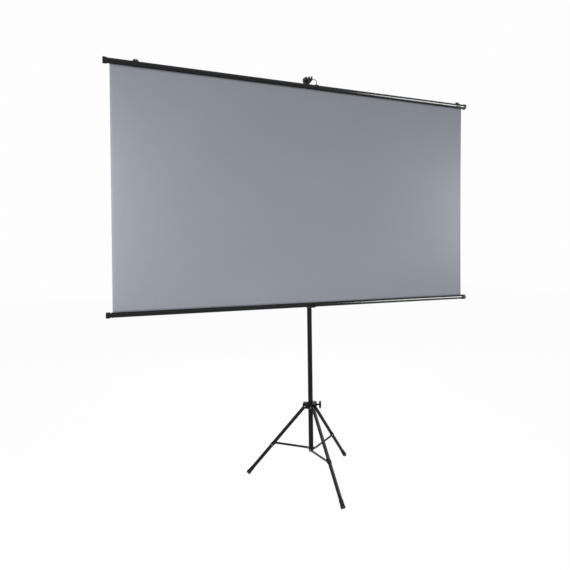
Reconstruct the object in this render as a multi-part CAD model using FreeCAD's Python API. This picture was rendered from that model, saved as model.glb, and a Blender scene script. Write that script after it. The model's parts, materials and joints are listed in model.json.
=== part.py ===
import FreeCAD, Part
import math
import os

# Tripod projection screen with a hand-wound roller, a toothed hook on a telescopic mast and a folding base.
# Millimetres and degrees. +Z is up, the screen faces -Y, and the floor is at zero height.

V = FreeCAD.Vector
ORIGIN = V(0, 0, 0)
ALONG_X = V(1, 0, 0)
ALONG_Y = V(0, 1, 0)
ALONG_Z = V(0, 0, 1)
FULL_TURN = 360.0
QUARTER_TURN = 90.0

# Screen
fabric_width = 2214.0
fabric_height = 1245.0
fabric_thickness = 0.8
roller_axis_height = 1032.0
cradle_reach = 34.0
notch_reach = 60.0

# Column and mast
column_diameter = 28.0
column_wall = 1.2
column_top_height = 1320.0
mast_play = 2.0
mast_wall = 1.0
mast_overlap = 125.0

# Tripod base
foot_reach = 389.0
leg_pivot_height = 425.0
leg_diameter = 20.0
leg_wall = 1.2
hub_pivot_height = 172.0
hub_pivot_reach = 18.0
strut_joint_drop = 298.0
strut_joint_inset = 9.0
leg_sides = ["front", "right", "left"]
leg_azimuths = {side: FULL_TURN * index / len(leg_sides) - QUARTER_TURN
                for index, side in enumerate(leg_sides)}
collar_knob_azimuth = -QUARTER_TURN / 3
mast_knob_azimuth = QUARTER_TURN

# Clearances
pass_gap = 0.3
running_gap = 0.06
overrun = 5.0
shortest_line = 0.001

# Top slat and what hangs on it
slat_diameter = 28.0
slat_wall = 1.6
slat_overhang = 11.0
slot_width = 3.0
rod_diameter = 5.0
top_cap_length = 22.0
top_cap_lip = 1.0
top_cap_flare = 2.0
top_cap_round = 5.0
top_cap_plug = 9.0
bail_wire = 4.0
bail_half_width = 37.0
bail_height = 45.0
bail_corner = 12.0
bail_socket_depth = 3.4
ear_strap_width = 22.0
ear_strap_wall = 2.4
ear_strap_reach = 13.0
ear_boss_diameter = 10.0
ear_boss_height = 18.0
ear_boss_round = 2.0
screw_diameter = 3.0
screw_head_diameter = 6.0
screw_head_height = 1.8
screw_length = 5.0
screw_offset = 8.0
screw_slot_width = 0.9
screw_slot_length = 3.6
screw_slot_depth = 1.1
clip_width = 30.0
clip_wall = 2.6
clip_mouth = 23.0
clip_lug_width = 24.0
clip_lug_thickness = 6.0
clip_lug_height = 9.8
clip_lug_round = 5.0
clip_eye_radius = 2.2
clip_eye_height = 6.0
clip_left_inset = 126.0
clip_right_inset = 33.0

# Roller
roller_diameter = 26.0
roller_wall = 1.4
knob_ring_length = 6.0
knob_ring_diameter = 29.0
knob_neck_length = 5.0
knob_neck_diameter = 23.0
knob_grip_length = 22.0
knob_grip_diameter = 31.0
knob_grip_round = 3.0
knob_plug_length = 14.0
knob_flutes = 8
knob_flute_radius = 5.0
knob_flute_depth = 1.6

# Hook head on the mast, rises and drops counted from where the bail sits
hook_thickness = 6.0
hook_tail_reach = 46.0
hook_tail_low_rise = 24.0
hook_tail_high_rise = 40.0
hook_peak_reach = 3.0
hook_peak_rise = 38.0
hook_tip_ahead = 18.0
hook_tip_rise = 11.0
hook_chin_ahead = 20.0
hook_chin_drop = 10.0
hook_neck_reach = 16.0
hook_neck_drop = 23.0
hook_round = 5.0
hook_tooth_round = 1.2
second_notch_back = 40.0
second_notch_rise = 15.0
notch_depth = 40.0
notch_front_lean = 40.0
notch_back_lean = 33.0
socket_wall = 4.2
socket_drop = 25.0
socket_rise = 15.0
socket_round = 3.0
mast_top_rise = 9.0
hook_pin_diameter = 4.0
hook_pin_drop = 11.0
shoe_flange_length = 12.0
shoe_plug_length = 22.0

# Mast clamp and saddle on the column
clamp_wall = 5.0
clamp_lower_length = 40.0
clamp_upper_length = 26.0
clamp_round = 3.0
clamp_groove_depth = 1.2
clamp_groove_height = 8.0
bush_wall = 3.6
bush_flange_width = 2.0
bush_flange_thickness = 2.0
boss_diameter = 18.0
boss_reach = 33.0
saddle_width = 50.0
saddle_foot_width = 28.0
saddle_wall = 4.0
saddle_lip_height = 4.0
saddle_depth = 19.0
saddle_front_drop = 15.0
saddle_toe_reach = 8.0
saddle_round = 3.0
saddle_ring_wall = 4.0
saddle_ring_up = 12.0
saddle_slit = 2.0
saddle_tab_width = 24.0
saddle_tab_reach = 33.0
saddle_bolt_reach = 24.0
saddle_bolt_diameter = 6.0
saddle_bolt_height_share = 0.45
hex_across = 10.0
hex_sides = 6
hex_height = 4.0
bolt_tail = 3.0

# Clamp knobs
stud_diameter = 6.0
stud_in_knob = 11.0
knob_gap = 0.6
knob_stem_length = 23.0
knob_stem_diameter = 10.5
knob_skirt_diameter = 14.0
knob_skirt_length = 5.0
knob_bar_length = 45.0
knob_bar_middle = 14.5
knob_bar_end = 10.5
knob_bar_round = 4.0

# Leg collar, rise and drop counted from the leg pivots
collar_drop = 13.0
collar_rise = 25.0
collar_wall = 5.0
collar_round = 2.5
collar_stud_rise = 11.0
lug_wall = 4.0
lug_round_radius = 13.0
lug_rise = 22.0
lug_top_round = 9.0
lug_root_gap = 0.5
leg_rivet_diameter = 5.0
leg_rivet_head = 8.0
leg_rivet_head_height = 2.4

# Leg pieces
leg_top_gap = 1.2
leg_overhang = 6.0
leg_plug_length = 20.0
leg_plug_head = 2.0
leg_plug_round = 1.6
foot_lift = 5.0
foot_length = 44.0
foot_sole = 7.0
foot_wall = 1.5
foot_flare = 1.5
foot_flare_length = 16.0
foot_round = 1.5
foot_groove_depth = 0.7
foot_groove_height = 2.0
clip_band_below_joint = 14.0
clip_band_length = 18.0
clip_band_wall = 1.7
clip_ear_thickness = 2.8
clip_ear_sink = 0.8
clip_ear_radius = 7.0
clip_rivet_diameter = 4.0
clip_rivet_head = 7.0
clip_rivet_head_height = 2.2

# Hub and struts, rise and drop counted from the strut pivots
hub_drop = 16.0
column_foot_rise = 9.0
hub_round = 4.0
hub_plug_length = 30.0
hub_ear_radius = 7.0
hub_rivet_diameter = 5.0
hub_rivet_head = 8.4
hub_rivet_head_height = 1.8
strut_width = 12.0
strut_thickness = 3.0
strut_bead_width = 4.0
strut_bead_height = 1.0
strut_bead_inset = 20.0

# A corner is rounded by this share of the half width where a plate ends in a half circle
end_round_share = 0.98

# Sizes that follow from the ones above
slat_radius = slat_diameter / 2
slat_bore_radius = slat_radius - slat_wall
roller_radius = roller_diameter / 2
roller_bore_radius = roller_radius - roller_wall
rod_radius = rod_diameter / 2
slat_axis_height = roller_axis_height + roller_radius + fabric_height + slat_radius
column_radius = column_diameter / 2
column_bore_radius = column_radius - column_wall
column_foot_height = hub_pivot_height + column_foot_rise
hub_bottom_height = hub_pivot_height - hub_drop
mast_radius = column_bore_radius - mast_play
mast_bore_radius = mast_radius - mast_wall
mast_bottom_height = column_top_height - mast_overlap
bail_seat_height = slat_axis_height + bail_height
mast_top_height = bail_seat_height + mast_top_rise
socket_radius = mast_radius + socket_wall
collar_radius = column_radius + collar_wall
collar_low = leg_pivot_height - collar_drop
collar_high = leg_pivot_height + collar_rise
collar_stud_height = leg_pivot_height + collar_stud_rise
leg_radius = leg_diameter / 2
leg_bore_radius = leg_radius - leg_wall
leg_pivot_reach = collar_radius + math.hypot(leg_radius, leg_overhang + leg_plug_head) + leg_top_gap
stud_radius = stud_diameter / 2
hub_rivet_radius = hub_rivet_diameter / 2
leg_rivet_radius = leg_rivet_diameter / 2
clip_rivet_radius = clip_rivet_diameter / 2
clip_band_radius = leg_radius + clip_band_wall
clip_band_drop = strut_joint_drop + clip_band_below_joint
clip_ear_inner = leg_radius - clip_ear_sink
clip_ear_outer = clip_ear_inner + clip_ear_thickness
strut_inner = clip_ear_outer + pass_gap
strut_outer = strut_inner + strut_thickness
lug_inner = leg_radius + pass_gap
lug_outer = lug_inner + lug_wall
lean = math.atan2(foot_reach - leg_pivot_reach, leg_pivot_height)
leg_length = (leg_pivot_height - foot_lift) / math.cos(lean)
strut_joint_reach = (leg_pivot_reach + strut_joint_drop * math.sin(lean)
                     - strut_joint_inset * math.cos(lean))
strut_joint_height = (leg_pivot_height - strut_joint_drop * math.cos(lean)
                      - strut_joint_inset * math.sin(lean))
strut_run = strut_joint_reach - hub_pivot_reach
strut_rise = strut_joint_height - hub_pivot_height
strut_length = math.hypot(strut_run, strut_rise)
strut_slope = math.atan2(strut_rise, strut_run)


# Shapes used by several pieces
def moved(shape, x=0, y=0, z=0):
    copy = shape.copy()
    copy.translate(V(x, y, z))
    return copy


def turned(shape, axis, degrees):
    copy = shape.copy()
    copy.rotate(ORIGIN, axis, degrees)
    return copy


def fused(first, *others):
    return first.multiFuse(list(others)).removeSplitter()


def bar(radius, length, base, axis):
    return Part.makeCylinder(radius, length, base, axis)


def tube(radius, bore_radius, length, base, axis):
    return bar(radius, length, base, axis).cut(bar(bore_radius, length, base, axis))


def rounded_wire(points, radii):
    """A closed wire in the XZ plane whose corners are arcs of the given radii."""
    corners = []
    count = len(points)
    for index, (x, z) in enumerate(points):
        corner = V(x, 0, z)
        back = (V(points[index - 1][0], 0, points[index - 1][1]) - corner).normalize()
        ahead_x, ahead_z = points[(index + 1) % count]
        ahead = (V(ahead_x, 0, ahead_z) - corner).normalize()
        half = back.getAngle(ahead) / 2
        middle = (back + ahead).normalize()
        run = radii[index] / math.tan(half)
        crown = corner + middle * (radii[index] / math.sin(half) - radii[index])
        corners.append((corner + back * run, crown, corner + ahead * run))
    edges = []
    for index, (start, crown, end) in enumerate(corners):
        last_end = corners[index - 1][2]
        if (start - last_end).Length > shortest_line:
            edges.append(Part.makeLine(last_end, start))
        if radii[index] > 0:
            edges.append(Part.Arc(start, crown, end).toShape())
    return Part.Wire(edges)


def plate(points, radii, low, high):
    """A flat piece with its outline in the XZ plane, from one Y to another."""
    face = Part.Face(rounded_wire(points, radii))
    return moved(face, y=low).extrude(V(0, high - low, 0))


def link_plate(x, z, half_width, low, high):
    """A plate from the origin to a point, with both ends rounded."""
    length = math.hypot(x, z)
    outline = [(-half_width, -half_width), (length + half_width, -half_width),
               (length + half_width, half_width), (-half_width, half_width)]
    shape = plate(outline, [half_width * end_round_share] * len(outline), low, high)
    return turned(shape, ALONG_Y, -math.degrees(math.atan2(z, x)))


def lathe(points, radii):
    """A solid turned about the Z axis from radius and height points."""
    return Part.Face(rounded_wire(points, radii)).revolve(ORIGIN, ALONG_Z, FULL_TURN)


def along_x(shape):
    """Lay a piece that was turned about Z along the X axis."""
    return turned(shape, ALONG_Y, QUARTER_TURN)


def dome(radius, height):
    """A rivet head that stands on the XY plane."""
    ball = (radius ** 2 + height ** 2) / (2 * height)
    half = math.asin(radius / ball) / 2
    crown = V(ball * math.sin(half), 0, height - ball + ball * math.cos(half))
    foot = V(radius, 0, 0)
    tip = V(0, 0, height)
    arc = Part.Arc(foot, crown, tip).toShape()
    wire = Part.Wire([Part.makeLine(ORIGIN, foot), arc, Part.makeLine(tip, ORIGIN)])
    return Part.Face(wire).revolve(ORIGIN, ALONG_Z, FULL_TURN)


def head_along_y(diameter, height, y, outwards):
    """A rivet head on the XZ plane at a given Y, facing +Y or -Y."""
    return moved(turned(dome(diameter / 2, height), ALONG_X, -QUARTER_TURN * outwards), y=y)


def rivet_along_y(radius, low, high, head, head_height):
    """A rivet with a head at both ends."""
    shank = bar(radius, high - low, V(0, low, 0), ALONG_Y)
    return fused(shank, head_along_y(head, head_height, high, 1), head_along_y(head, head_height, low, -1))


def drill_along_y(x, z, radius, low, high):
    return bar(radius, high - low, V(x, low, z), ALONG_Y)


# Column pieces
def column_tube():
    length = column_top_height - column_foot_height
    return tube(column_radius, column_bore_radius, length, V(0, 0, column_foot_height), ALONG_Z)


def hub():
    top = column_foot_height + hub_plug_length
    points = [(0, hub_bottom_height), (column_radius, hub_bottom_height), (column_radius, column_foot_height),
              (column_bore_radius, column_foot_height), (column_bore_radius, top), (0, top)]
    body = lathe(points, [0, hub_round, 0, 0, column_wall, 0])
    low = hub_pivot_height - hub_ear_radius
    high = hub_pivot_height + hub_ear_radius
    end = hub_pivot_reach + hub_ear_radius
    round_end = hub_ear_radius * end_round_share
    ear = plate([(0, low), (end, low), (end, high), (0, high)], [0, round_end, round_end, 0],
                -clip_ear_outer, -clip_ear_inner)
    ear = ear.cut(drill_along_y(hub_pivot_reach, hub_pivot_height, hub_rivet_radius, -strut_outer, 0))
    return fused(body, *[turned(ear, ALONG_Z, azimuth) for azimuth in leg_azimuths.values()])


def hub_rivets():
    pin = rivet_along_y(hub_rivet_radius, -strut_outer - pass_gap, -clip_ear_inner,
                        hub_rivet_head, hub_rivet_head_height)
    pin = moved(pin, x=hub_pivot_reach, z=hub_pivot_height)
    return Part.makeCompound([turned(pin, ALONG_Z, azimuth) for azimuth in leg_azimuths.values()])


clamp_low = column_top_height - clamp_lower_length
clamp_high = column_top_height + clamp_upper_length
bush_radius = mast_radius + bush_wall
clamp_radius = bush_radius + clamp_wall
boss_radius = boss_diameter / 2
mast_stud_height = column_top_height + clamp_upper_length / 2


def stud_boss(height, azimuth):
    """The round boss that takes a clamp knob's stud."""
    return turned(bar(boss_radius, boss_reach, V(0, 0, height), ALONG_X), ALONG_Z, azimuth)


def stud_hole(height, azimuth, gap):
    reach = boss_reach + overrun
    return turned(bar(stud_radius + gap, reach, V(0, 0, height), ALONG_X), ALONG_Z, azimuth)


def mast_clamp():
    waist = clamp_radius - clamp_groove_depth
    groove_low = clamp_low + clamp_groove_height
    groove_high = column_top_height - clamp_groove_height
    points = [(0, clamp_low), (clamp_radius, clamp_low), (clamp_radius, groove_low), (waist, groove_low),
              (waist, groove_high), (clamp_radius, groove_high), (clamp_radius, clamp_high), (0, clamp_high)]
    body = lathe(points, [0, clamp_round, 0, 0, 0, 0, clamp_round, 0])
    body = fused(body, stud_boss(mast_stud_height, mast_knob_azimuth))
    body = body.cut(bar(column_radius, clamp_lower_length, V(0, 0, clamp_low), ALONG_Z))
    body = body.cut(bar(bush_radius, clamp_upper_length, V(0, 0, column_top_height), ALONG_Z))
    return body.cut(stud_hole(mast_stud_height, mast_knob_azimuth, running_gap))


def guide_bush():
    bore = mast_radius + running_gap
    flange = bush_radius + bush_flange_width
    top = clamp_high + bush_flange_thickness
    points = [(bore, column_top_height), (bush_radius, column_top_height), (bush_radius, clamp_high),
              (flange, clamp_high), (flange, top), (bore, top)]
    body = lathe(points, [0] * len(points))
    return body.cut(stud_hole(mast_stud_height, mast_knob_azimuth, pass_gap))


saddle_bolt_height = roller_axis_height - saddle_depth * saddle_bolt_height_share
saddle_ring_low = roller_axis_height - saddle_depth
saddle_ring_high = roller_axis_height + saddle_ring_up


def saddle_bracket():
    """A split ring on the column with a cradle in front that the roller lies in."""
    bed = roller_radius + pass_gap
    wall = bed + saddle_wall
    front = cradle_reach + wall
    lip = roller_axis_height + saddle_lip_height
    outline = [(0, saddle_ring_low), (cradle_reach - saddle_toe_reach, saddle_ring_low),
               (front, roller_axis_height - saddle_front_drop), (front, lip), (0, lip)]
    arm = plate(outline, [0, saddle_round, saddle_round, 0, 0], -saddle_width / 2, saddle_width / 2)
    arm = turned(arm, ALONG_Z, -QUARTER_TURN)
    half_top = saddle_width / 2
    half_foot = saddle_foot_width / 2
    front_view = [(-half_foot, saddle_ring_low), (half_foot, saddle_ring_low), (half_top, roller_axis_height),
                  (half_top, lip), (-half_top, lip), (-half_top, roller_axis_height)]
    arm = arm.common(plate(front_view, [0] * len(front_view), -front, column_radius))
    ring_radius = column_radius + saddle_ring_wall
    ring_height = saddle_ring_high - saddle_ring_low
    ring = bar(ring_radius, ring_height, V(0, 0, saddle_ring_low), ALONG_Z)
    tab = Part.makeBox(saddle_tab_width, saddle_tab_reach, ring_height,
                       V(-saddle_tab_width / 2, 0, saddle_ring_low))
    body = fused(arm, ring, tab)
    body = body.cut(bar(column_radius, ring_height, V(0, 0, saddle_ring_low), ALONG_Z))
    body = body.cut(Part.makeBox(saddle_slit, saddle_tab_reach, ring_height,
                                 V(-saddle_slit / 2, 0, saddle_ring_low)))
    trough = bar(bed, saddle_width, V(-saddle_width / 2, -cradle_reach, roller_axis_height), ALONG_X)
    mouth = Part.makeBox(saddle_width, bed * 2, saddle_ring_up,
                         V(-saddle_width / 2, -cradle_reach - bed, roller_axis_height))
    body = body.cut(trough).cut(mouth)
    bolt_hole = bar(saddle_bolt_diameter / 2, saddle_tab_width,
                    V(-saddle_tab_width / 2, saddle_bolt_reach, saddle_bolt_height), ALONG_X)
    return body.cut(bolt_hole)


def hexagon(start):
    """A hexagonal bolt head or nut along X."""
    corner = hex_across / 2 / math.cos(math.pi / hex_sides)
    points = []
    for side in range(hex_sides + 1):
        angle = math.radians(FULL_TURN * side / hex_sides)
        points.append(V(start, corner * math.cos(angle), corner * math.sin(angle)))
    return Part.Face(Part.makePolygon(points)).extrude(V(hex_height, 0, 0))


def saddle_bolt():
    half = saddle_tab_width / 2
    shank = bar(saddle_bolt_diameter / 2, saddle_tab_width + hex_height + bolt_tail, V(-half, 0, 0), ALONG_X)
    return moved(fused(hexagon(-half - hex_height), shank), y=saddle_bolt_reach, z=saddle_bolt_height)


def saddle_nut():
    half = saddle_tab_width / 2
    body = hexagon(half).cut(bar(saddle_bolt_diameter / 2, hex_height, V(half, 0, 0), ALONG_X))
    return moved(body, y=saddle_bolt_reach, z=saddle_bolt_height)


def rod_seat(bore_radius):
    """How far a rod behind a slot in a round bore lies from the bore's axis."""
    half_slot = slot_width / 2
    edge = math.sqrt(bore_radius ** 2 - half_slot ** 2)
    return edge - math.sqrt(rod_radius ** 2 - half_slot ** 2)


slat_rod_height = slat_axis_height - rod_seat(slat_bore_radius)
roller_rod_height = roller_axis_height + rod_seat(roller_bore_radius)
fabric_top_height = slat_rod_height - rod_radius - pass_gap
fabric_bottom_height = roller_rod_height + rod_radius + pass_gap


def screen_fabric():
    """The flat cloth, which leans forward a little from the roller to the slat."""
    half = fabric_thickness / 2
    outline = [(cradle_reach - half, fabric_bottom_height), (cradle_reach + half, fabric_bottom_height),
               (notch_reach + half, fabric_top_height), (notch_reach - half, fabric_top_height)]
    sheet = plate(outline, [0] * len(outline), -fabric_width / 2, fabric_width / 2)
    return turned(sheet, ALONG_Z, -QUARTER_TURN)


# Leg collar
def leg_collar():
    points = [(0, collar_low), (collar_radius, collar_low), (collar_radius, collar_high), (0, collar_high)]
    body = lathe(points, [0, collar_round, collar_round, 0])
    low = leg_pivot_height - lug_round_radius
    high = leg_pivot_height + lug_rise
    reach = leg_pivot_reach + lug_round_radius
    round_end = lug_round_radius * end_round_share
    outline = [(0, low), (reach, low), (reach, high), (0, high)]
    lug = plate(outline, [0, round_end, lug_top_round, 0], -lug_outer, lug_outer)
    lug = lug.cut(Part.makeBox(reach, lug_inner * 2, high - lug_wall - collar_low,
                               V(collar_radius + lug_root_gap, -lug_inner, collar_low)))
    lug = lug.cut(drill_along_y(leg_pivot_reach, leg_pivot_height, leg_rivet_radius, -lug_outer, lug_outer))
    lugs = [turned(lug, ALONG_Z, azimuth) for azimuth in leg_azimuths.values()]
    body = fused(body, stud_boss(collar_stud_height, collar_knob_azimuth), *lugs)
    bore = column_radius + running_gap
    body = body.cut(bar(bore, collar_high - collar_low, V(0, 0, collar_low), ALONG_Z))
    return body.cut(stud_hole(collar_stud_height, collar_knob_azimuth, running_gap))


def leg_rivets():
    pin = rivet_along_y(leg_rivet_radius, -lug_outer, lug_outer, leg_rivet_head, leg_rivet_head_height)
    pin = moved(pin, x=leg_pivot_reach, z=leg_pivot_height)
    return Part.makeCompound([turned(pin, ALONG_Z, azimuth) for azimuth in leg_azimuths.values()])


# Clamp knobs, along the X axis until they are turned to their place
knob_start = boss_reach + knob_gap
knob_bar_reach = knob_start + knob_stem_length


def clamp_knob(height, azimuth):
    skirt = knob_skirt_diameter / 2
    stem = knob_stem_diameter / 2
    skirt_end = knob_start + knob_skirt_length
    points = [(0, knob_start), (skirt, knob_start), (skirt, skirt_end), (stem, skirt_end + skirt - stem),
              (stem, knob_bar_reach), (0, knob_bar_reach)]
    handle = along_x(lathe(points, [0] * len(points)))
    half = knob_bar_length / 2
    middle = knob_bar_middle / 2
    end = knob_bar_end / 2
    profile = [(0, -half), (end, -half), (middle, 0), (end, half), (0, half)]
    grip = lathe(profile, [0, knob_bar_round, half, knob_bar_round, 0])
    body = fused(handle, moved(grip, x=knob_bar_reach))
    body = body.cut(bar(stud_radius, stud_in_knob, V(knob_start, 0, 0), ALONG_X))
    return turned(moved(body, z=height), ALONG_Z, azimuth)


def clamp_stud(shaft_radius, height, azimuth):
    start = shaft_radius + pass_gap
    stud = bar(stud_radius, knob_start + stud_in_knob - start, V(start, 0, height), ALONG_X)
    return turned(stud, ALONG_Z, azimuth)


# Leg pieces, with the pivot at the origin and the leg straight down until they are placed
def placed_leg(shape, azimuth):
    leaned = turned(shape, ALONG_Y, -math.degrees(lean))
    return turned(moved(leaned, x=leg_pivot_reach, z=leg_pivot_height), ALONG_Z, azimuth)


def leg_cross_hole():
    return drill_along_y(0, 0, leg_rivet_radius + running_gap, -leg_radius, leg_radius)


def clip_rivet_hole():
    return drill_along_y(0, -clip_band_drop, clip_rivet_radius, 0, clip_band_radius)


def leg_tube():
    low = foot_sole - leg_length
    body = tube(leg_radius, leg_bore_radius, leg_overhang - low, V(0, 0, low), ALONG_Z)
    return body.cut(leg_cross_hole()).cut(clip_rivet_hole())


def leg_plug():
    top = leg_overhang + leg_plug_head
    low = leg_overhang - leg_plug_length
    points = [(0, low), (leg_bore_radius, low), (leg_bore_radius, leg_overhang), (leg_radius, leg_overhang),
              (leg_radius, top), (0, top)]
    return lathe(points, [0, leg_wall, 0, 0, leg_plug_round, 0]).cut(leg_cross_hole())


def foot():
    top = foot_length - leg_length
    flare = foot_flare_length - leg_length
    groove = flare + foot_groove_height
    sole = foot_sole - leg_length
    neck = leg_radius + foot_wall
    radius = neck + foot_flare
    waist = neck - foot_groove_depth
    points = [(0, -leg_length), (radius, -leg_length), (radius, flare), (waist, flare), (waist, groove),
              (neck, groove), (neck, top), (leg_radius, top), (leg_radius, sole), (0, sole)]
    return lathe(points, [0, foot_round, foot_round, 0, 0, 0, 0, 0, 0, 0])


def placed_foot(azimuth):
    """A foot cut level where it stands on the floor."""
    shape = placed_leg(foot(), 0)
    block = Part.makeBox(foot_length, foot_length, foot_length,
                         V(foot_reach - foot_length / 2, -foot_length / 2, -foot_length))
    return turned(shape.cut(block), ALONG_Z, azimuth)


def strut_clip():
    """A band round the leg with an ear that the strut's end meets."""
    low = -clip_band_drop - clip_band_length / 2
    band = bar(clip_band_radius, clip_band_length, V(0, 0, low), ALONG_Z)
    rise = clip_band_drop - strut_joint_drop
    ear = link_plate(-strut_joint_inset, rise, clip_ear_radius, -clip_ear_outer, -clip_ear_inner)
    body = fused(band, moved(ear, z=-clip_band_drop))
    body = body.cut(bar(leg_radius, leg_length, V(0, 0, -leg_length), ALONG_Z))
    return body.cut(clip_rivet_hole())


def clip_rivet():
    shank = bar(clip_rivet_radius, clip_band_radius - leg_bore_radius, V(0, leg_bore_radius, 0), ALONG_Y)
    head = head_along_y(clip_rivet_head, clip_rivet_head_height, clip_band_radius, 1)
    return moved(fused(shank, head), z=-clip_band_drop)


# Struts, along X from the hub's pivot until they are placed
def placed_strut(shape, azimuth):
    leaned = turned(shape, ALONG_Y, -math.degrees(strut_slope))
    return turned(moved(leaned, x=hub_pivot_reach, z=hub_pivot_height), ALONG_Z, azimuth)


def strut():
    body = link_plate(strut_length, 0, strut_width / 2, -strut_outer, -strut_inner)
    half = strut_bead_width / 2
    end = strut_length - strut_bead_inset
    outline = [(strut_bead_inset, -half), (end, -half), (end, half), (strut_bead_inset, half)]
    bead_front = -strut_outer - strut_bead_height
    bead = plate(outline, [half * end_round_share] * len(outline), bead_front, -strut_outer)
    body = fused(body, bead)
    body = body.cut(drill_along_y(0, 0, hub_rivet_radius + running_gap, -strut_outer, -strut_inner))
    return body.cut(drill_along_y(strut_length, 0, hub_rivet_radius, -strut_outer, -strut_inner))


def strut_rivet():
    shank = bar(hub_rivet_radius, strut_thickness, V(0, -strut_outer, 0), ALONG_Y)
    head = head_along_y(hub_rivet_head, hub_rivet_head_height, -strut_outer, -1)
    return moved(fused(shank, head), x=strut_length)


# Mast pieces
def hook_pin_hole():
    base = V(-socket_radius, 0, bail_seat_height - hook_pin_drop)
    return bar(hook_pin_diameter / 2, socket_radius * 2, base, ALONG_X)


def mast_tube():
    length = mast_top_height - mast_bottom_height
    body = tube(mast_radius, mast_bore_radius, length, V(0, 0, mast_bottom_height), ALONG_Z)
    return body.cut(hook_pin_hole())


def mast_shoe():
    low = mast_bottom_height - shoe_flange_length
    top = mast_bottom_height + shoe_plug_length
    flange = column_bore_radius - running_gap
    points = [(0, low), (flange, low), (flange, mast_bottom_height), (mast_bore_radius, mast_bottom_height),
              (mast_bore_radius, top), (0, top)]
    return lathe(points, [0, mast_wall, 0, 0, mast_wall, 0])


def notch(reach, rise):
    """What is cut out of the hook for the bail: a round seat and a mouth that opens upwards."""
    seat = bail_wire / 2 + pass_gap
    top = rise + notch_depth
    outline = [(reach - seat, rise), (reach + seat, rise), (reach + notch_front_lean, top),
               (reach - notch_back_lean, top)]
    mouth = plate(outline, [0] * len(outline), -socket_radius, socket_radius)
    return fused(mouth, drill_along_y(reach, rise, seat, -socket_radius, socket_radius))


def hook_head():
    """A toothed plate on a socket, along X until it is turned to face forward."""
    outline = [(-hook_tail_reach, hook_tail_low_rise), (-hook_neck_reach, -hook_neck_drop),
               (hook_neck_reach, -hook_neck_drop), (notch_reach + hook_chin_ahead, -hook_chin_drop),
               (notch_reach + hook_tip_ahead, hook_tip_rise), (-hook_peak_reach, hook_peak_rise),
               (-hook_tail_reach, hook_tail_high_rise)]
    radii = [hook_round, hook_round, hook_round, hook_round, hook_tooth_round, hook_tooth_round, hook_round]
    comb = plate(outline, radii, -hook_thickness / 2, hook_thickness / 2)
    points = [(0, -socket_drop), (socket_radius, -socket_drop),
              (socket_radius, socket_rise), (0, socket_rise)]
    socket = lathe(points, [0, socket_round, socket_round * 2, 0])
    body = fused(comb, socket)
    body = body.cut(notch(notch_reach, 0)).cut(notch(notch_reach - second_notch_back, second_notch_rise))
    body = body.cut(bar(mast_radius, socket_drop + mast_top_rise, V(0, 0, -socket_drop), ALONG_Z))
    body = turned(moved(body, z=bail_seat_height), ALONG_Z, -QUARTER_TURN)
    return body.cut(hook_pin_hole())


def hook_pin():
    return hook_pin_hole()


# Top bar pieces
slat_half_length = fabric_width / 2 + slat_overhang


def on_slat(shape):
    return moved(shape, y=-notch_reach, z=slat_axis_height)


def top_slat():
    length = slat_half_length * 2
    base = V(-slat_half_length, 0, 0)
    slot = Part.makeBox(length, slot_width, slat_radius, V(-slat_half_length, -slot_width / 2, -slat_radius))
    slat = on_slat(tube(slat_radius, slat_bore_radius, length, base, ALONG_X).cut(slot))
    return slat.cut(bail_screws())


def top_cap(side):
    """An end cap with a plug in the slat, a waist and a wider rounded rim."""
    waist = slat_radius + top_cap_lip
    rim = waist + top_cap_flare
    step = top_cap_length / 2
    points = [(0, -top_cap_plug), (slat_bore_radius, -top_cap_plug), (slat_bore_radius, 0), (waist, 0),
              (rim, step), (rim, top_cap_length), (0, top_cap_length)]
    cap = along_x(lathe(points, [0, slat_wall, 0, 0, slat_wall, top_cap_round, 0]))
    cap = moved(cap, x=slat_half_length)
    return on_slat(cap if side > 0 else turned(cap, ALONG_Z, FULL_TURN / 2))


def hem_rod():
    base = V(-fabric_width / 2, -notch_reach, slat_rod_height)
    return bar(rod_radius, fabric_width, base, ALONG_X)


def bail():
    """A wire bow from one ear to the other, straight runs joined by arcs."""
    foot_height = ear_boss_height - bail_socket_depth
    bend = bail_height - bail_corner
    inner = bail_half_width - bail_corner
    drop = bail_corner * math.sqrt(0.5)
    points = [V(-bail_half_width, 0, foot_height), V(-bail_half_width, 0, bend), V(-inner, 0, bail_height),
              V(inner, 0, bail_height), V(bail_half_width, 0, bend), V(bail_half_width, 0, foot_height)]
    left_crown = V(-inner - drop, 0, bend + drop)
    right_crown = V(inner + drop, 0, bend + drop)
    left_bend = Part.Arc(points[1], left_crown, points[2]).toShape()
    right_bend = Part.Arc(points[3], right_crown, points[4]).toShape()
    path = Part.Wire([Part.makeLine(points[0], points[1]), left_bend, Part.makeLine(points[2], points[3]),
                      right_bend, Part.makeLine(points[4], points[5])])
    section = Part.Wire([Part.makeCircle(bail_wire / 2, points[0], ALONG_Z)])
    return on_slat(path.makePipeShell([section], True, False))


def bail_screw():
    """A pan screw with a cross recess on top of a strap, pointing down."""
    start = slat_radius + ear_strap_wall
    top = start + screw_head_height
    shank = bar(screw_diameter / 2, screw_length, V(0, 0, start - screw_length), ALONG_Z)
    body = fused(shank, moved(dome(screw_head_diameter / 2, screw_head_height), z=start))
    slot = Part.makeBox(screw_slot_length, screw_slot_width, screw_slot_depth,
                        V(-screw_slot_length / 2, -screw_slot_width / 2, top - screw_slot_depth))
    return body.cut(slot).cut(turned(slot, ALONG_Z, QUARTER_TURN))


def bail_screws():
    tilt = math.degrees(screw_offset / slat_radius)
    screws = []
    for side in (-1, 1):
        for way in (-1, 1):
            screw = turned(bail_screw(), ALONG_X, way * tilt)
            screws.append(on_slat(moved(screw, x=side * bail_half_width)))
    return Part.makeCompound(screws)


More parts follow.
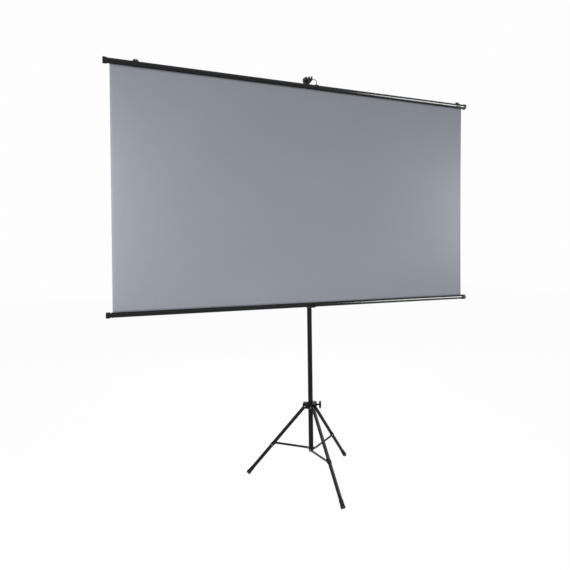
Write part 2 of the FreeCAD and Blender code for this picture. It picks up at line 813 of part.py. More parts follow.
def bail_ears():
    """Two straps on the slat's top, each with a boss for the end of the bail."""
    outer = slat_radius + ear_strap_wall
    strap = tube(outer, slat_radius, ear_strap_width, V(-ear_strap_width / 2, 0, 0), ALONG_X)
    keep = Part.makeBox(ear_strap_width, ear_strap_reach * 2, outer,
                        V(-ear_strap_width / 2, -ear_strap_reach, 0))
    radius = ear_boss_diameter / 2
    boss = lathe([(0, 0), (radius, 0), (radius, ear_boss_height), (0, ear_boss_height)],
                 [0, 0, ear_boss_round, 0])
    boss = boss.cut(bar(slat_radius, ear_strap_width, V(-ear_strap_width / 2, 0, 0), ALONG_X))
    ear = fused(strap.common(keep), boss)
    socket_floor = V(0, 0, ear_boss_height - bail_socket_depth)
    ear = ear.cut(bar(bail_wire / 2, bail_socket_depth, socket_floor, ALONG_Z))
    ears = [on_slat(moved(ear, x=side * bail_half_width)) for side in (-1, 1)]
    return Part.makeCompound([placed.cut(bail_screws()) for placed in ears])


def hanging_clip(x):
    """A spring clip that hugs the slat from above, with an eye on top."""
    bore = slat_radius + pass_gap
    outer = bore + clip_wall
    hug = tube(outer, bore, clip_width, V(-clip_width / 2, 0, 0), ALONG_X)
    hug = hug.cut(Part.makeBox(clip_width, clip_mouth, outer, V(-clip_width / 2, -clip_mouth / 2, -outer)))
    half = clip_lug_width / 2
    top = slat_radius + clip_lug_height
    outline = [(-half, bore), (half, bore), (half, top), (-half, top)]
    half_lug = clip_lug_thickness / 2
    lug = plate(outline, [0, 0, clip_lug_round, clip_lug_round], -half_lug, half_lug)
    lug = lug.cut(bar(bore, clip_width, V(-clip_width / 2, 0, 0), ALONG_X))
    eye = drill_along_y(0, slat_radius + clip_eye_height, clip_eye_radius, -outer, outer)
    return on_slat(moved(fused(hug, lug).cut(eye), x=x))


# Roller pieces
def on_roller(shape):
    return moved(shape, y=-cradle_reach, z=roller_axis_height)


def roller_tube():
    half = fabric_width / 2
    slot = Part.makeBox(fabric_width, slot_width, roller_radius, V(-half, -slot_width / 2, 0))
    return on_roller(tube(roller_radius, roller_bore_radius, fabric_width, V(-half, 0, 0), ALONG_X).cut(slot))


def roller_knob(side):
    """The fluted knob at a roller's end, with a ring, a neck and a plug in the tube."""
    ring = knob_ring_diameter / 2
    neck = knob_neck_diameter / 2
    grip = knob_grip_diameter / 2
    neck_start = knob_ring_length
    grip_start = neck_start + knob_neck_length
    end = grip_start + knob_grip_length
    points = [(0, -knob_plug_length), (roller_bore_radius, -knob_plug_length), (roller_bore_radius, 0),
              (ring, 0), (ring, neck_start), (neck, neck_start), (neck, grip_start), (grip, grip_start),
              (grip, end), (0, end)]
    radii = [0, roller_wall, 0, roller_wall, roller_wall, 0, 0, knob_grip_round, knob_grip_round, 0]
    knob = lathe(points, radii)
    flute_reach = grip + knob_flute_radius - knob_flute_depth
    flute = bar(knob_flute_radius, knob_grip_length + overrun, V(flute_reach, 0, grip_start), ALONG_Z)
    flutes = [turned(flute, ALONG_Z, FULL_TURN * index / knob_flutes) for index in range(knob_flutes)]
    knob = along_x(knob.cut(Part.makeCompound(flutes)))
    rod_start = V(-knob_plug_length, 0, rod_seat(roller_bore_radius))
    rod_room = bar(rod_radius + pass_gap, knob_plug_length, rod_start, ALONG_X)
    knob = knob.cut(rod_room)
    knob = moved(knob, x=fabric_width / 2)
    return on_roller(knob if side > 0 else turned(knob, ALONG_Z, FULL_TURN / 2))


def roller_rod():
    base = V(-fabric_width / 2, -cradle_reach, roller_rod_height)
    return bar(rod_radius, fabric_width, base, ALONG_X)


def all_pieces():
    pieces = {
        "column_tube": column_tube(), "hub": hub(), "hub_rivets": hub_rivets(),
        "mast_clamp": mast_clamp(), "guide_bush": guide_bush(),
        "saddle_bracket": saddle_bracket(), "saddle_bolt": saddle_bolt(), "saddle_nut": saddle_nut(),
        "screen_fabric": screen_fabric(),
        "leg_collar": leg_collar(), "leg_rivets": leg_rivets(),
        "collar_knob": clamp_knob(collar_stud_height, collar_knob_azimuth),
        "collar_stud": clamp_stud(column_radius, collar_stud_height, collar_knob_azimuth),
        "mast_knob": clamp_knob(mast_stud_height, mast_knob_azimuth),
        "mast_stud": clamp_stud(mast_radius, mast_stud_height, mast_knob_azimuth),
        "mast_tube": mast_tube(), "mast_shoe": mast_shoe(), "hook_head": hook_head(), "hook_pin": hook_pin(),
        "top_slat": top_slat(), "top_cap_left": top_cap(-1), "top_cap_right": top_cap(1),
        "hem_rod": hem_rod(), "bail": bail(), "bail_ears": bail_ears(), "bail_screws": bail_screws(),
        "hanging_clip_left": hanging_clip(clip_left_inset - fabric_width / 2),
        "hanging_clip_right": hanging_clip(fabric_width / 2 - clip_right_inset),
        "roller_tube": roller_tube(), "roller_knob_left": roller_knob(-1),
        "roller_knob_right": roller_knob(1), "roller_rod": roller_rod(),
    }
    for side, azimuth in leg_azimuths.items():
        pieces[side + "_leg_tube"] = placed_leg(leg_tube(), azimuth)
        pieces[side + "_leg_plug"] = placed_leg(leg_plug(), azimuth)
        pieces[side + "_foot"] = placed_foot(azimuth)
        pieces[side + "_strut_clip"] = placed_leg(strut_clip(), azimuth)
        pieces[side + "_clip_rivet"] = placed_leg(clip_rivet(), azimuth)
        pieces[side + "_strut"] = placed_strut(strut(), azimuth)
        pieces[side + "_strut_rivet"] = placed_strut(strut_rivet(), azimuth)
    return pieces


# The column stands behind the middle of the footprint, so the whole is moved until its box is centred
pieces = all_pieces()
feet = Part.makeCompound([pieces[side + "_foot"] for side in leg_azimuths])
footprint = feet.optimalBoundingBox(False, False)
column_y = -(footprint.YMin + footprint.YMax) / 2

os.makedirs("parts", exist_ok=True)
for name, shape in pieces.items():
    moved(shape, y=column_y).exportStep(os.path.join("parts", name + ".step"))
print(len(pieces), "pieces, column axis at y", round(column_y, 3))
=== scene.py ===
# %% [markdown]
# # A tripod projection screen
# The model arrives from CAD as a frame of rigid pieces that already sit in their places, in metres.
# The frame is loaded first.

# %% Load the frame
import json
import math

import bmesh
import bpy
from mathutils import Matrix, Vector


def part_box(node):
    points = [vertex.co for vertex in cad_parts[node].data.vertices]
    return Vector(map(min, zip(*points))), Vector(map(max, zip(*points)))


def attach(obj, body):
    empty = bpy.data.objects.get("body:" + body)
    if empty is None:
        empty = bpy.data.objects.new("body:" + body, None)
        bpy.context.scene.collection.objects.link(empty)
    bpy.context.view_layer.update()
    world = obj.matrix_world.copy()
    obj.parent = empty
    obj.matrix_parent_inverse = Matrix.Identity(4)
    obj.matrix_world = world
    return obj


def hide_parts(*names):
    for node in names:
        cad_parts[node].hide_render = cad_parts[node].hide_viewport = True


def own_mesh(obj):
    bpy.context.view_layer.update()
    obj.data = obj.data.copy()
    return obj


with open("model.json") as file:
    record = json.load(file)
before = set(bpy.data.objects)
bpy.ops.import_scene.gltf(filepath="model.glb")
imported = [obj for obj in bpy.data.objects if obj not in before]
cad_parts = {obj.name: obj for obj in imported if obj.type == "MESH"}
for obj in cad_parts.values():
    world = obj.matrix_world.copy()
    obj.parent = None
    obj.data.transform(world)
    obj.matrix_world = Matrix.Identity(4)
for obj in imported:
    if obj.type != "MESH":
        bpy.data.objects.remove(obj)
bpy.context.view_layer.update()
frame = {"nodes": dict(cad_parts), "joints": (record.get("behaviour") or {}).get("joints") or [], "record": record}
nodes = frame["nodes"]
scene = bpy.context.scene
scene.view_settings.view_transform = "Standard"

# %% [markdown]
# ## The camera
# The photograph shows the screen from its left. A camera can be placed by eye, but a fit is better: the ends
# of the bars, the pole and the three feet are seen at known pixels, and one camera position, direction and
# focal length brings the model's points onto them. The small shift says that the picture was cropped a little
# off its optical centre.

# %% Place the camera
IMAGE_PIXELS = 570
SENSOR_MM = 36.0
FOCAL_PIXELS = 464.03
OPTICAL_CENTRE = (274.07, 259.43)
EYE = Vector((-1.1748, -2.4147, 1.309))
HEADING, PITCH, ROLL = (math.radians(angle) for angle in (-20.824, -0.154, -0.754))

ahead = Vector((-math.sin(HEADING) * math.cos(PITCH), math.cos(HEADING) * math.cos(PITCH), math.sin(PITCH)))
level = Vector((math.cos(HEADING), math.sin(HEADING), 0))
upward = level.cross(ahead)
right = level * math.cos(ROLL) + upward * math.sin(ROLL)
up = upward * math.cos(ROLL) - level * math.sin(ROLL)

camera_data = bpy.data.cameras.new("photo_camera")
camera_data.sensor_width = SENSOR_MM
camera_data.lens = FOCAL_PIXELS / IMAGE_PIXELS * SENSOR_MM
camera_data.shift_x = (IMAGE_PIXELS / 2 - OPTICAL_CENTRE[0]) / IMAGE_PIXELS
camera_data.shift_y = (OPTICAL_CENTRE[1] - IMAGE_PIXELS / 2) / IMAGE_PIXELS
camera = bpy.data.objects.new("photo_camera", camera_data)
camera.matrix_world = Matrix.Translation(EYE) @ Matrix((right, up, -ahead)).transposed().to_4x4()
scene.collection.objects.link(camera)
scene.camera = camera
print("lens", round(camera_data.lens, 2), "mm, shift",
      round(camera_data.shift_x, 4), round(camera_data.shift_y, 4))

# %% [markdown]
# ## Writing shaders as sums
# A shader is a graph of small nodes. Linking them one by one hides the idea, so a small class wraps one
# output and gives it Python's own operators: `1 - mask * 0.4` adds the two Math nodes that it needs. Every
# other node comes from one method, which sets the node's options first and its sockets after.

# %% A signal that can be added and multiplied
class Signal:
    """One output of a shader node."""

    def __init__(self, socket):
        self.socket = socket
        self.tree = socket.id_data

    def make(self, kind, settings, sockets, output=0):
        node = self.tree.nodes.new("ShaderNode" + kind)
        for option, value in settings.items():
            setattr(node, option, value)
        for name, value in sockets.items():
            connect(node.inputs[name], value)
        return Signal(node.outputs[output])

    def maths(self, operation, first, second):
        return self.make("Math", {"operation": operation}, {0: first, 1: second})

    def __add__(self, other):
        return self.maths("ADD", self, other)

    def __radd__(self, other):
        return self.maths("ADD", other, self)

    def __sub__(self, other):
        return self.maths("SUBTRACT", self, other)

    def __rsub__(self, other):
        return self.maths("SUBTRACT", other, self)

    def __mul__(self, other):
        return self.maths("MULTIPLY", self, other)

    def __rmul__(self, other):
        return self.maths("MULTIPLY", other, self)


def connect(socket, value):
    """Link a signal to a socket, or write a plain value on it."""
    if isinstance(value, Signal):
        value.tree.links.new(value.socket, socket)
    else:
        socket.default_value = value


print("signals add Math nodes with + - *")

# %% [markdown]
# ## White surround
# The object stands alone on white. A wall behind it would do for one view only, so the surround is the world
# itself. It is plain white to the camera and in reflections, and a weaker grey where it lights the object.

# %% The white world
WORLD_LIGHT = 0.5
WORLD_WHITE = 0.985


def seen_directly(path):
    """1 for rays from the camera, and for those that a gloss or glass sends on."""
    camera_ray = Signal(path.outputs["Is Camera Ray"])
    glossy_ray = Signal(path.outputs["Is Glossy Ray"])
    glass_ray = Signal(path.outputs["Is Transmission Ray"])
    mirrored = camera_ray.maths("MAXIMUM", camera_ray, glossy_ray)
    return mirrored.maths("MAXIMUM", mirrored, glass_ray)


world = bpy.data.worlds.new("white_studio")
world.use_nodes = True
scene.world = world
backdrop = world.node_tree.nodes["Background"]
world_path = world.node_tree.nodes.new("ShaderNodeLightPath")
connect(backdrop.inputs["Color"], (1, 1, 1, 1))
connect(backdrop.inputs["Strength"], seen_directly(world_path) * (WORLD_WHITE - WORLD_LIGHT) + WORLD_LIGHT)
print("world light", WORLD_LIGHT)

# %% [markdown]
# ## The floor
# The feet need a floor that catches their shadow, but its far edge shouldn't draw a horizon. So one large
# square is a pale matt paint for the light that falls on it, and mostly a white glow for the same rays that
# see the world white. The share of paint that is left keeps the shadow.

# %% The pale floor
FLOOR_HALF = 14.0
FLOOR_DROP = 0.0004
FLOOR_PAINT = (0.86, 0.86, 0.86, 1)
FLOOR_GLOW = 1.016
FLOOR_SHARE_LIT = 0.93

floor_mesh = bpy.data.meshes.new("floor")
corners = [(-FLOOR_HALF, -FLOOR_HALF), (FLOOR_HALF, -FLOOR_HALF),
           (FLOOR_HALF, FLOOR_HALF), (-FLOOR_HALF, FLOOR_HALF)]
floor_mesh.from_pydata([(x, y, -FLOOR_DROP) for x, y in corners], [], [(0, 1, 2, 3)])
floor = bpy.data.objects.new("floor", floor_mesh)
scene.collection.objects.link(floor)

floor_paint = bpy.data.materials.new("pale_floor")
floor_paint.use_nodes = True
floor_tree = floor_paint.node_tree
floor_tree.nodes.clear()
seen = seen_directly(floor_tree.nodes.new("ShaderNodeLightPath"))
matt = seen.make("BsdfDiffuse", {}, {"Color": FLOOR_PAINT})
glow = seen.make("Emission", {}, {"Color": (1, 1, 1, 1), "Strength": FLOOR_GLOW})
lit = seen.make("MixShader", {}, {0: seen * FLOOR_SHARE_LIT, 1: matt, 2: glow})
floor_output = floor_tree.nodes.new("ShaderNodeOutputMaterial")
connect(floor_output.inputs["Surface"], lit)
floor_mesh.materials.append(floor_paint)
print("floor of", 2 * FLOOR_HALF, "m")

# %% [markdown]
# ## Soft light
# Soft lamps stand in for a studio. A wide window at the right draws the bright line along the right half of
# both bars, and a smaller one the sheen of the front leg. They shine only on these pieces and only into their
# gloss, as flags in a studio would hold them off the rest. The cloth is brightest near its two sides and
# dimmest along its top, so two small fills stand close to the sides and a low lamp in front lifts the rest.
# One large weak lamp hangs overhead, and another lights the back.

# %% The lamps
def softbox(name, place, aim, size, watts):
    """A rectangular lamp that faces a point."""
    lamp = bpy.data.lights.new(name, "AREA")
    lamp.shape = "RECTANGLE"
    lamp.size, lamp.size_y = size
    lamp.energy = watts
    holder = bpy.data.objects.new(name, lamp)
    holder.location = place
    holder.rotation_euler = (Vector(aim) - Vector(place)).to_track_quat("-Z", "Y").to_euler()
    scene.collection.objects.link(holder)
    return holder


def shine_on(lamp, names):
    """Keep a lamp off everything but the gloss of some pieces."""
    lamp.visible_diffuse = False
    receivers = bpy.data.collections.new(lamp.name + "_receivers")
    for name in names:
        receivers.objects.link(nodes[name])
    lamp.light_linking.receiver_collection = receivers


bar_window = softbox("bar_window", place=(3.5, -2.9, 1.8), aim=(0.6, 0, 1.8), size=(2.4, 2.0), watts=700)
shine_on(bar_window, ("top_slat", "top_cap_left", "top_cap_right", "hanging_clip_left", "hanging_clip_right",
                      "roller_tube", "roller_knob_left", "roller_knob_right"))
leg_window = softbox("leg_window", place=(0.8, -1.8, 2.5), aim=(0, -0.1, 0.2), size=(1.0, 1.0), watts=90)
shine_on(leg_window, ("front_leg_tube", "left_leg_tube", "right_leg_tube",
                      "front_foot", "left_foot", "right_foot"))
softbox("left_edge_fill", place=(-1.98, -0.55, 1.58), aim=(-1.19, 0, 1.58), size=(0.5, 0.5), watts=12.3)
softbox("right_edge_fill", place=(1.3, -0.5, 1.6), aim=(0.85, 0, 1.6), size=(0.5, 0.5), watts=2.4)
front_fill = softbox("front_low_fill", place=(-0.18, -2.0, 1.0), aim=(-0.18, 0, 1.1), size=(1.4, 1.0),
                     watts=15.9)
front_fill.visible_glossy = False
softbox("overhead", place=(0.3, -2.6, 4.6), aim=(0.1, 0, 1.2), size=(3.0, 2.0), watts=10)
softbox("rear_fill", place=(0.9, 3.3, 2.4), aim=(0, 0, 1.5), size=(2.0, 2.0), watts=36)

# %% [markdown]
# ## A blank finish
# Every finish below begins the same way: a Principled shader, the place of each point on the piece in
# metres, and a mask of the piece's sharp edges. The edge mask compares the true normal with one that is
# rounded over a little more than half a millimetre, so it shows where hands and tubes rub the coating thin.

# %% Start a finish
EDGE_ROUND = 0.0006
EDGE_SAMPLES = 6
EDGE_FULL = 0.25


class Finish:
    """A material with one Principled shader, and the signals that its recipe works with."""

    def __init__(self, name):
        self.material = bpy.data.materials.new(name)
        self.material.use_nodes = True
        tree = self.material.node_tree
        self.shader = tree.nodes["Principled BSDF"]
        self.place = Signal(tree.nodes.new("ShaderNodeTexCoord").outputs["Object"])
        true_normal = Signal(tree.nodes.new("ShaderNodeNewGeometry").outputs["Normal"])
        self.round_normal = self.place.make("Bevel", {"samples": EDGE_SAMPLES}, {"Radius": EDGE_ROUND})
        self.edge = self.ramp(1 - self.dot(self.round_normal, true_normal), 0, EDGE_FULL)

    def set(self, **sockets):
        """Link or write the shader's sockets, with _ for the spaces in their names."""
        for name, value in sockets.items():
            connect(self.shader.inputs[name.replace("_", " ")], value)

    def dot(self, first, second):
        """How far one vector goes along another."""
        return self.place.make("VectorMath", {"operation": "DOT_PRODUCT"}, {0: first, 1: second}, 1)

    def sine(self, angle):
        return self.place.make("Math", {"operation": "SINE"}, {0: angle})

    def grain(self, size, detail=3.0, stretch=(1, 1, 1)):
        """Soft noise from 0 to 1 with spots of one size, drawn out along an axis by a stretch above 1."""
        squeezed = tuple(1 / (size * long) for long in stretch)
        spot = self.place.make("VectorMath", {"operation": "MULTIPLY"}, {0: self.place, 1: squeezed})
        return self.place.make("TexNoise", {}, {"Vector": spot, "Scale": 1.0, "Detail": detail})

    def ramp(self, signal, low, high):
        """0 below one value, 1 above another, and even between."""
        sockets = {"Value": signal, "From Min": low, "From Max": high}
        return self.place.make("MapRange", {"clamp": True}, sockets)

    def tint(self, share, first, second):
        """A colour between two."""
        return self.place.make("Mix", {"data_type": "RGBA"}, {0: share, 6: (*first, 1), 7: (*second, 1)}, 2)

    def relief(self, height, depth):
        """Raise the surface by a height signal, over the rounded edges."""
        sockets = {"Height": height, "Distance": depth, "Normal": self.round_normal}
        self.set(Normal=self.place.make("Bump", {}, sockets))


print("a finish has place, edge, dot, sine, grain, ramp, tint and relief")

# %% [markdown]
# ## Black powder coat
# The legs, struts, strut clips, the hub and the wire bail with its ears are steel with a satin black powder
# coat. The powder melts into a skin like fine orange peel, which could be modelled, but at less than a tenth
# of a millimetre deep it belongs in the bump. Handling leaves faint smudges that change only the gloss, and
# edges show a little of the grey primer.

# %% Powder coat
PEEL = 0.0011
PEEL_DEPTH = 0.00006
SMUDGE = 0.09
SCUFF = 0.006
PRIMER = (0.16, 0.16, 0.165)
STEEL_BLACK = (0.004, 0.004, 0.0045)
STEEL_SPECULAR = 0.15


def powder_coat(name, gloss):
    coat = Finish(name)
    smudge = coat.ramp(coat.grain(SMUDGE, detail=4.0), low=0.35, high=0.7)
    peel = coat.grain(PEEL, detail=2.0)
    scuff = coat.edge * coat.ramp(coat.grain(SCUFF), low=0.45, high=0.6)
    coat.set(Base_Color=coat.tint(scuff * 0.6, STEEL_BLACK, PRIMER),
             Roughness=gloss + smudge * 0.1 + scuff * 0.2,
             Specular_IOR_Level=STEEL_SPECULAR)
    coat.relief(peel, PEEL_DEPTH)
    return coat.material


painted_steel = powder_coat("satin_black_steel", gloss=0.3)
print("made", painted_steel.name)

# %% [markdown]
# ## The sliding tubes
# The mast slides in the column and the collar slides on it, so these two tubes carry long faint rub marks.
# The marks could be painted by hand, but noise that is drawn out sixty times along the tube needs no picture.
# They make the coat a little glossier and greyer.

# %% Rubbed tube
RUB_WIDTH = 0.0016
RUB_STRETCH = (1, 1, 60)
RUB_DEPTH = 0.00005
RUBBED_GREY = (0.09, 0.09, 0.095)
TUBE_SMUDGE = 0.12


def rubbed_tube(name, gloss):
    tube = Finish(name)
    rub = tube.ramp(tube.grain(RUB_WIDTH, detail=2.0, stretch=RUB_STRETCH), low=0.58, high=0.72)
    smudge = tube.ramp(tube.grain(TUBE_SMUDGE, detail=4.0), low=0.35, high=0.7)
    tube.set(Base_Color=tube.tint(rub * 0.25, STEEL_BLACK, RUBBED_GREY),
             Roughness=gloss + smudge * 0.1 - rub * 0.08,
             Specular_IOR_Level=STEEL_SPECULAR)
    tube.relief(tube.grain(PEEL, detail=2.0) + rub * 0.5, RUB_DEPTH)
    return tube.material


sliding_steel = rubbed_tube("rubbed_black_steel", gloss=0.27)
print("made", sliding_steel.name)

# %% [markdown]
# ## Black anodised aluminium
# The top slat and the roller are extruded tubes. The die leaves hair lines along them. They are far too fine
# for the mesh, so noise is drawn out along X for the bump. The anodised skin is satin, with a clean bright
# line where it faces a lamp.

# %% Anodised tube
HAIR_LINE = 0.0005
HAIR_STRETCH = (400, 1, 1)
HAIR_DEPTH = 0.00003
CLOUD = 0.2
CLOUD_STRETCH = (3, 1, 1)
ANODISED_BLACK, ANODISED_GREY = (0.003, 0.003, 0.0035), (0.009, 0.009, 0.01)


def anodised(name, gloss, specular):
    skin = Finish(name)
    line = skin.grain(HAIR_LINE, detail=2.0, stretch=HAIR_STRETCH)
    cloud = skin.ramp(skin.grain(CLOUD, stretch=CLOUD_STRETCH), low=0.35, high=0.7)
    skin.set(Base_Color=skin.tint(line * 0.5, ANODISED_BLACK, ANODISED_GREY),
             Roughness=gloss + cloud * 0.04 + line * 0.05,
             Specular_IOR_Level=specular)
    skin.relief(line, HAIR_DEPTH)
    return skin.material


anodised_tube = anodised("black_anodised_tube", gloss=0.11, specular=0.2)
print("made", anodised_tube.name)

# %% [markdown]
# ## Moulded plastic
# The clamp, hook, collar, saddle, caps, knobs and hanging clips are black nylon mouldings, and so are the
# plugs and rods in the tubes. Their moulds are spark-eroded, which prints a fine even grain. A noise like
# pores in the bump does that, and the edges, where the grain is worn away, are a little glossier and greyer.

# %% Grained plastic
PORE = 0.0007
PORE_DEPTH = 0.00008
WEAR = 0.004
PLASTIC_DUST = 0.03
NYLON_BLACK, NYLON_WORN = (0.004, 0.004, 0.004), (0.12, 0.12, 0.12)


def moulded(name, dull, specular):
    plastic = Finish(name)
    pores = plastic.grain(PORE, detail=1.0)
    wear = plastic.edge * plastic.ramp(plastic.grain(WEAR), low=0.4, high=0.6)
    dust = plastic.ramp(plastic.grain(PLASTIC_DUST, detail=4.0), low=0.5, high=0.8)
    plastic.set(Base_Color=plastic.tint(wear * 0.35 + dust * 0.08, NYLON_BLACK, NYLON_WORN),
                Roughness=dull + pores * 0.12 - wear * 0.15,
                Specular_IOR_Level=specular)
    plastic.relief(pores, PORE_DEPTH)
    return plastic.material


black_moulding = moulded("grained_black_nylon", dull=0.42, specular=0.14)
print("made", black_moulding.name)

# %% [markdown]
# ## Rubber feet
# The feet are matt rubber that picks up pale dust from the floor. It could be painted on each foot, but here
# it follows the height above the floor, broken up by noise, so that all three fade alike within about two
# centimetres.

# %% Dusty rubber
DUST_LOW, DUST_HIGH = 0.001, 0.022
DUST_SPOT = 0.004
RUBBER_GRAIN = 0.0006
RUBBER_DEPTH = 0.00007
RUBBER_BLACK, FLOOR_DUST = (0.007, 0.007, 0.007), (0.2, 0.19, 0.17)


def dusty_rubber(name, dull, specular):
    rubber = Finish(name)
    height = rubber.place.make("SeparateXYZ", {}, {"Vector": rubber.place}, 2)
    dust = (1 - rubber.ramp(height, DUST_LOW, DUST_HIGH)) * rubber.grain(DUST_SPOT, detail=4.0)
    rubber.set(Base_Color=rubber.tint(dust * 0.5, RUBBER_BLACK, FLOOR_DUST),
               Roughness=dull + dust * 0.2,
               Specular_IOR_Level=specular)
    rubber.relief(rubber.grain(RUBBER_GRAIN, detail=2.0), RUBBER_DEPTH)
    return rubber.material


foot_rubber = dusty_rubber("dusty_black_rubber", dull=0.68, specular=0.2)
print("made", foot_rubber.name)

# %% [markdown]
# ## Bright metal
# Rivets, screws, the hook's pin and the nut are zinc plated steel. One even gloss would look too clean. A
# zinc skin is slightly cloudy, so the noise that greys the metal also makes it duller there.

# %% Plated steel
ZINC = (0.42, 0.42, 0.415)
ZINC_CLOUDY_SHARE = 0.6
ZINC_CLOUD = 0.004
ZINC_GRAIN = 0.0008
ZINC_DEPTH = 0.00003


def plated(name, gloss, cloudiness):
    metal = Finish(name)
    cloud = metal.ramp(metal.grain(ZINC_CLOUD, detail=4.0), low=0.3, high=0.7)
    cloudy = tuple(ZINC_CLOUDY_SHARE * channel for channel in ZINC)
    metal.set(Base_Color=metal.tint(cloud * cloudiness, ZINC, cloudy),
              Metallic=1.0,
              Roughness=gloss + cloud * 0.12)
    metal.relief(metal.grain(ZINC_GRAIN), ZINC_DEPTH)
    return metal.material


zinc_steel = plated("zinc_plated_steel", gloss=0.3, cloudiness=0.5)
print("made", zinc_steel.name)

# %% [markdown]
# ## Screw threads
# The studs and the bolt have the same zinc, cut by a thread. A thread could be modelled as a helix, but most
# of it sits in a hole, so it stays in the bump. It must follow the stud: the distance along the stud's own
# axis comes from a dot product, and a sine of it raises one ridge for each millimetre. The same sine
# paints shade into the roots between the ridges.

# %% Threaded studs
THREAD_PITCH = 0.001
THREAD_DEPTH = 0.0003
THREAD_ROOT_SHADE, THREAD_CREST = (0.2, 0.2, 0.195), (0.44, 0.44, 0.435)
BOLT_AXIS = Vector((1, 0, 0))


def threaded(name, axis):
    stud = Finish(name)
    along = stud.dot(stud.place, tuple(axis))
    ridge = stud.sine(along * (2 * math.pi / THREAD_PITCH)) * 0.5 + 0.5
    # The thread's roots are painted darker than its crests, as shade in the grooves.
    stud.set(Base_Color=stud.tint(ridge, THREAD_ROOT_SHADE, THREAD_CREST),
             Metallic=1.0,
             Roughness=0.45 - ridge * 0.18)
    stud.relief(ridge, THREAD_DEPTH)
    return stud.material


joint_axis = {joint["name"]: Vector(joint["axis"]) for joint in frame["joints"]}
collar_thread = threaded("collar_stud_thread", joint_axis["collar_knob_turn"])
mast_thread = threaded("mast_stud_thread", joint_axis["mast_knob_turn"])
bolt_thread = threaded("saddle_bolt_thread", BOLT_AXIS)
print("made threads of pitch", THREAD_PITCH)

# %% [markdown]
# ## Dress the CAD pieces
# The rigid pieces keep their CAD meshes, which have the right shapes. Each takes the finish that belongs to
# the slot its record names, and a few take a finer one: the sliding tubes and the threads.

# %% Give every piece its finish
slot_finish = {
    "black_steel": painted_steel, "black_aluminium": anodised_tube, "black_plastic": black_moulding,
    "black_rubber": foot_rubber, "bright_steel": zinc_steel,
}
special_finish = {
    "column_tube": sliding_steel, "mast_tube": sliding_steel, "collar_stud": collar_thread,
    "mast_stud": mast_thread, "saddle_bolt": bolt_thread,
}
for subpart in frame["record"]["subparts"]:
    name = subpart["node"]
    if subpart["material_slot"] in slot_finish:
        piece = nodes[name]
        piece.data.materials.clear()
        piece.data.materials.append(special_finish.get(name, slot_finish[subpart["material_slot"]]))
print("dressed", sum(len(piece.data.materials) for piece in nodes.values()), "pieces")

# %% [markdown]
# ## The fabric
# The screen is a coated cloth held between two bars, so it is nearly flat. A plane would do from afar, but a
# real one hangs with faint upright waves that die out at the bars, and its free side edges curl back by a
# few millimetres. It could be simulated; sines are enough for so taut a cloth and repeat exactly. The cloth
# is woven with its two faces a fraction of a millimetre apart, so that the edge has a thickness.

# %% Where the fabric hangs
FABRIC_THICKNESS = 0.0008
WAVE_DEPTH = 0.0012
# Each wave has a share of the depth, a rate along X, a shift and a twist with the height.
WAVES = ((1.0, 9.0, 0.6, 0.0), (0.6, 16.3, 2.1, 1.0), (0.4, 4.1, 0.0, 3.0))
WAVE_HOLD = 0.7
CURL_DEPTH = 0.004
CURL_WIDTH = 0.07
fabric_low, fabric_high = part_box("screen_fabric")
fabric_width = fabric_high.x - fabric_low.x
fabric_height = fabric_high.z - fabric_low.z
back_y = fabric_high.y - FABRIC_THICKNESS / 2
front_y = fabric_low.y + FABRIC_THICKNESS / 2


def fabric_depth(across, rise):
    """How far back the cloth stands, from shares of its width and height."""
    x = fabric_low.x + across * fabric_width
    held = math.sin(math.pi * rise) ** WAVE_HOLD
    wave = sum(share * math.sin(x * rate + shift + twist * rise) for share, rate, shift, twist in WAVES)
    edge = min(across, 1 - across) * fabric_width
    curl = max(0.0, 1 - edge / CURL_WIDTH) ** 2
    lean = back_y + (front_y - back_y) * rise
    return lean + held * (WAVE_DEPTH * wave + CURL_DEPTH * curl)


print("fabric", round(fabric_width, 3), "x", round(fabric_height, 3), "m")

# %% Shape the fabric
COLUMNS, ROWS = 180, 96


def fabric_layer(cloth, offset):
    """One face's points, row by row from the roller up."""
    layer = []
    for row in range(ROWS + 1):
        rise = row / ROWS
        z = fabric_low.z + rise * fabric_height
        line = []
        for column in range(COLUMNS + 1):
            across = column / COLUMNS
            point = (fabric_low.x + across * fabric_width, fabric_depth(across, rise) + offset, z)
            line.append(cloth.verts.new(point))
        layer.append(line)
    return layer


def weave_fabric():
    """A closed sheet: a front face, a back face and the four edges between them."""
    cloth = bmesh.new()
    front = fabric_layer(cloth, -FABRIC_THICKNESS / 2)
    back = fabric_layer(cloth, FABRIC_THICKNESS / 2)
    for row in range(ROWS):
        for column in range(COLUMNS):
            ring = [(row, column), (row, column + 1), (row + 1, column + 1), (row + 1, column)]
            turned = [ring[0], ring[3], ring[2], ring[1]]
            cloth.faces.new([front[r][c] for r, c in ring])
            cloth.faces.new([back[r][c] for r, c in turned])
    rim = [(0, column) for column in range(COLUMNS)] + [(row, COLUMNS) for row in range(ROWS)]
    rim += [(ROWS, column) for column in range(COLUMNS, 0, -1)] + [(row, 0) for row in range(ROWS, 0, -1)]
    for (r, c), (next_r, next_c) in zip(rim, rim[1:] + rim[:1]):
        cloth.faces.new((front[r][c], back[r][c], back[next_r][next_c], front[next_r][next_c]))
    mesh = bpy.data.meshes.new("projection_fabric")
    cloth.to_mesh(mesh)
    cloth.free()
    for face in mesh.polygons:
        face.use_smooth = True
    return mesh


fabric = bpy.data.objects.new("projection_fabric", weave_fabric())
scene.collection.objects.link(fabric)
print("fabric of", len(fabric.data.polygons), "faces")

# %% [markdown]
# ## What the fabric is made of
# The cloth is a plain weave with a flat grey coating that throws light back evenly. A picture of cloth would
# show its repeats, so two crossed sines make the yarns, and long thin noise along both directions makes the
# slubs, the slightly thicker yarns that one sees when standing close.

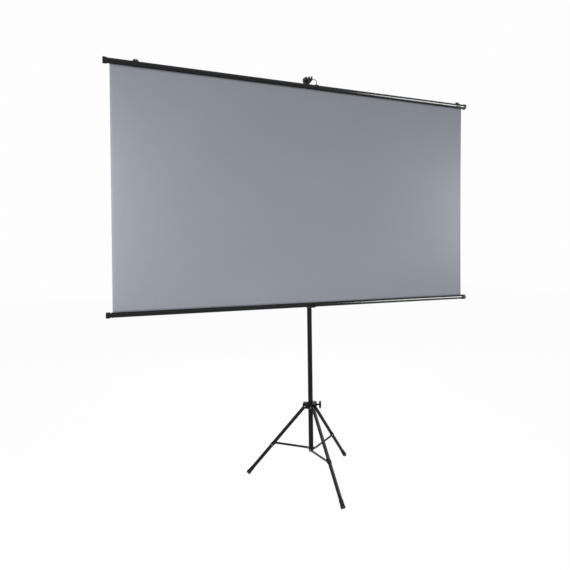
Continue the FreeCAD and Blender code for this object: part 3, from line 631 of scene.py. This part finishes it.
# %% Grey woven finish
YARN = 0.0011
SLUB = 0.0012
SLUB_ACROSS, SLUB_UPRIGHT = (40, 1, 1), (1, 1, 40)
PATCH = 0.5
WEAVE_DEPTH = 0.00005
SLUB_SHARE, PATCH_SHARE, YARN_SHARE = 0.6, 0.3, 0.1
CLOTH_GREY, CLOTH_PALE = (0.222, 0.239, 0.272), (0.297, 0.318, 0.36)


def woven(name, dull, specular, sheen):
    weave = Finish(name)
    across = weave.place.make("SeparateXYZ", {}, {"Vector": weave.place}, 0)
    rise = weave.place.make("SeparateXYZ", {}, {"Vector": weave.place}, 2)
    warp = weave.sine(across * (math.pi / YARN))
    weft = weave.sine(rise * (math.pi / YARN))
    yarns = warp * weft * 0.5 + 0.5
    slub = (weave.grain(SLUB, detail=2.0, stretch=SLUB_ACROSS) * 0.5
            + weave.grain(SLUB, detail=2.0, stretch=SLUB_UPRIGHT) * 0.5)
    pale = slub * SLUB_SHARE + weave.grain(PATCH) * PATCH_SHARE + yarns * YARN_SHARE
    weave.set(Base_Color=weave.tint(pale, CLOTH_GREY, CLOTH_PALE),
              Roughness=dull + yarns * 0.1,
              Specular_IOR_Level=specular,
              Sheen_Weight=sheen)
    weave.relief(yarns + slub * 0.5, WEAVE_DEPTH)
    return weave.material


grey_fabric = woven("grey_projection_weave", dull=0.72, specular=0.25, sheen=0.08)
fabric.data.materials.append(grey_fabric)
print("made", grey_fabric.name)

# %% [markdown]
# ## Let the fabric ride on the column
# When the mast goes down, the roller takes up the cloth. Winding it up could be simulated, but every pose has
# to come out the same each time. So the piece rides on the column.

# %% Tie the fabric to the frame
mast_range = next(joint["range_m"] for joint in frame["joints"] if joint["name"] == "mast_slide")
mast_travel = max(abs(limit) for limit in mast_range)
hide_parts("screen_fabric")
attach(fabric, "column")
1 - mast_travel / fabric_height
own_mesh(fabric)
print("fabric keeps", round(1 - mast_travel / fabric_height, 3), "of its height when the mast is down")
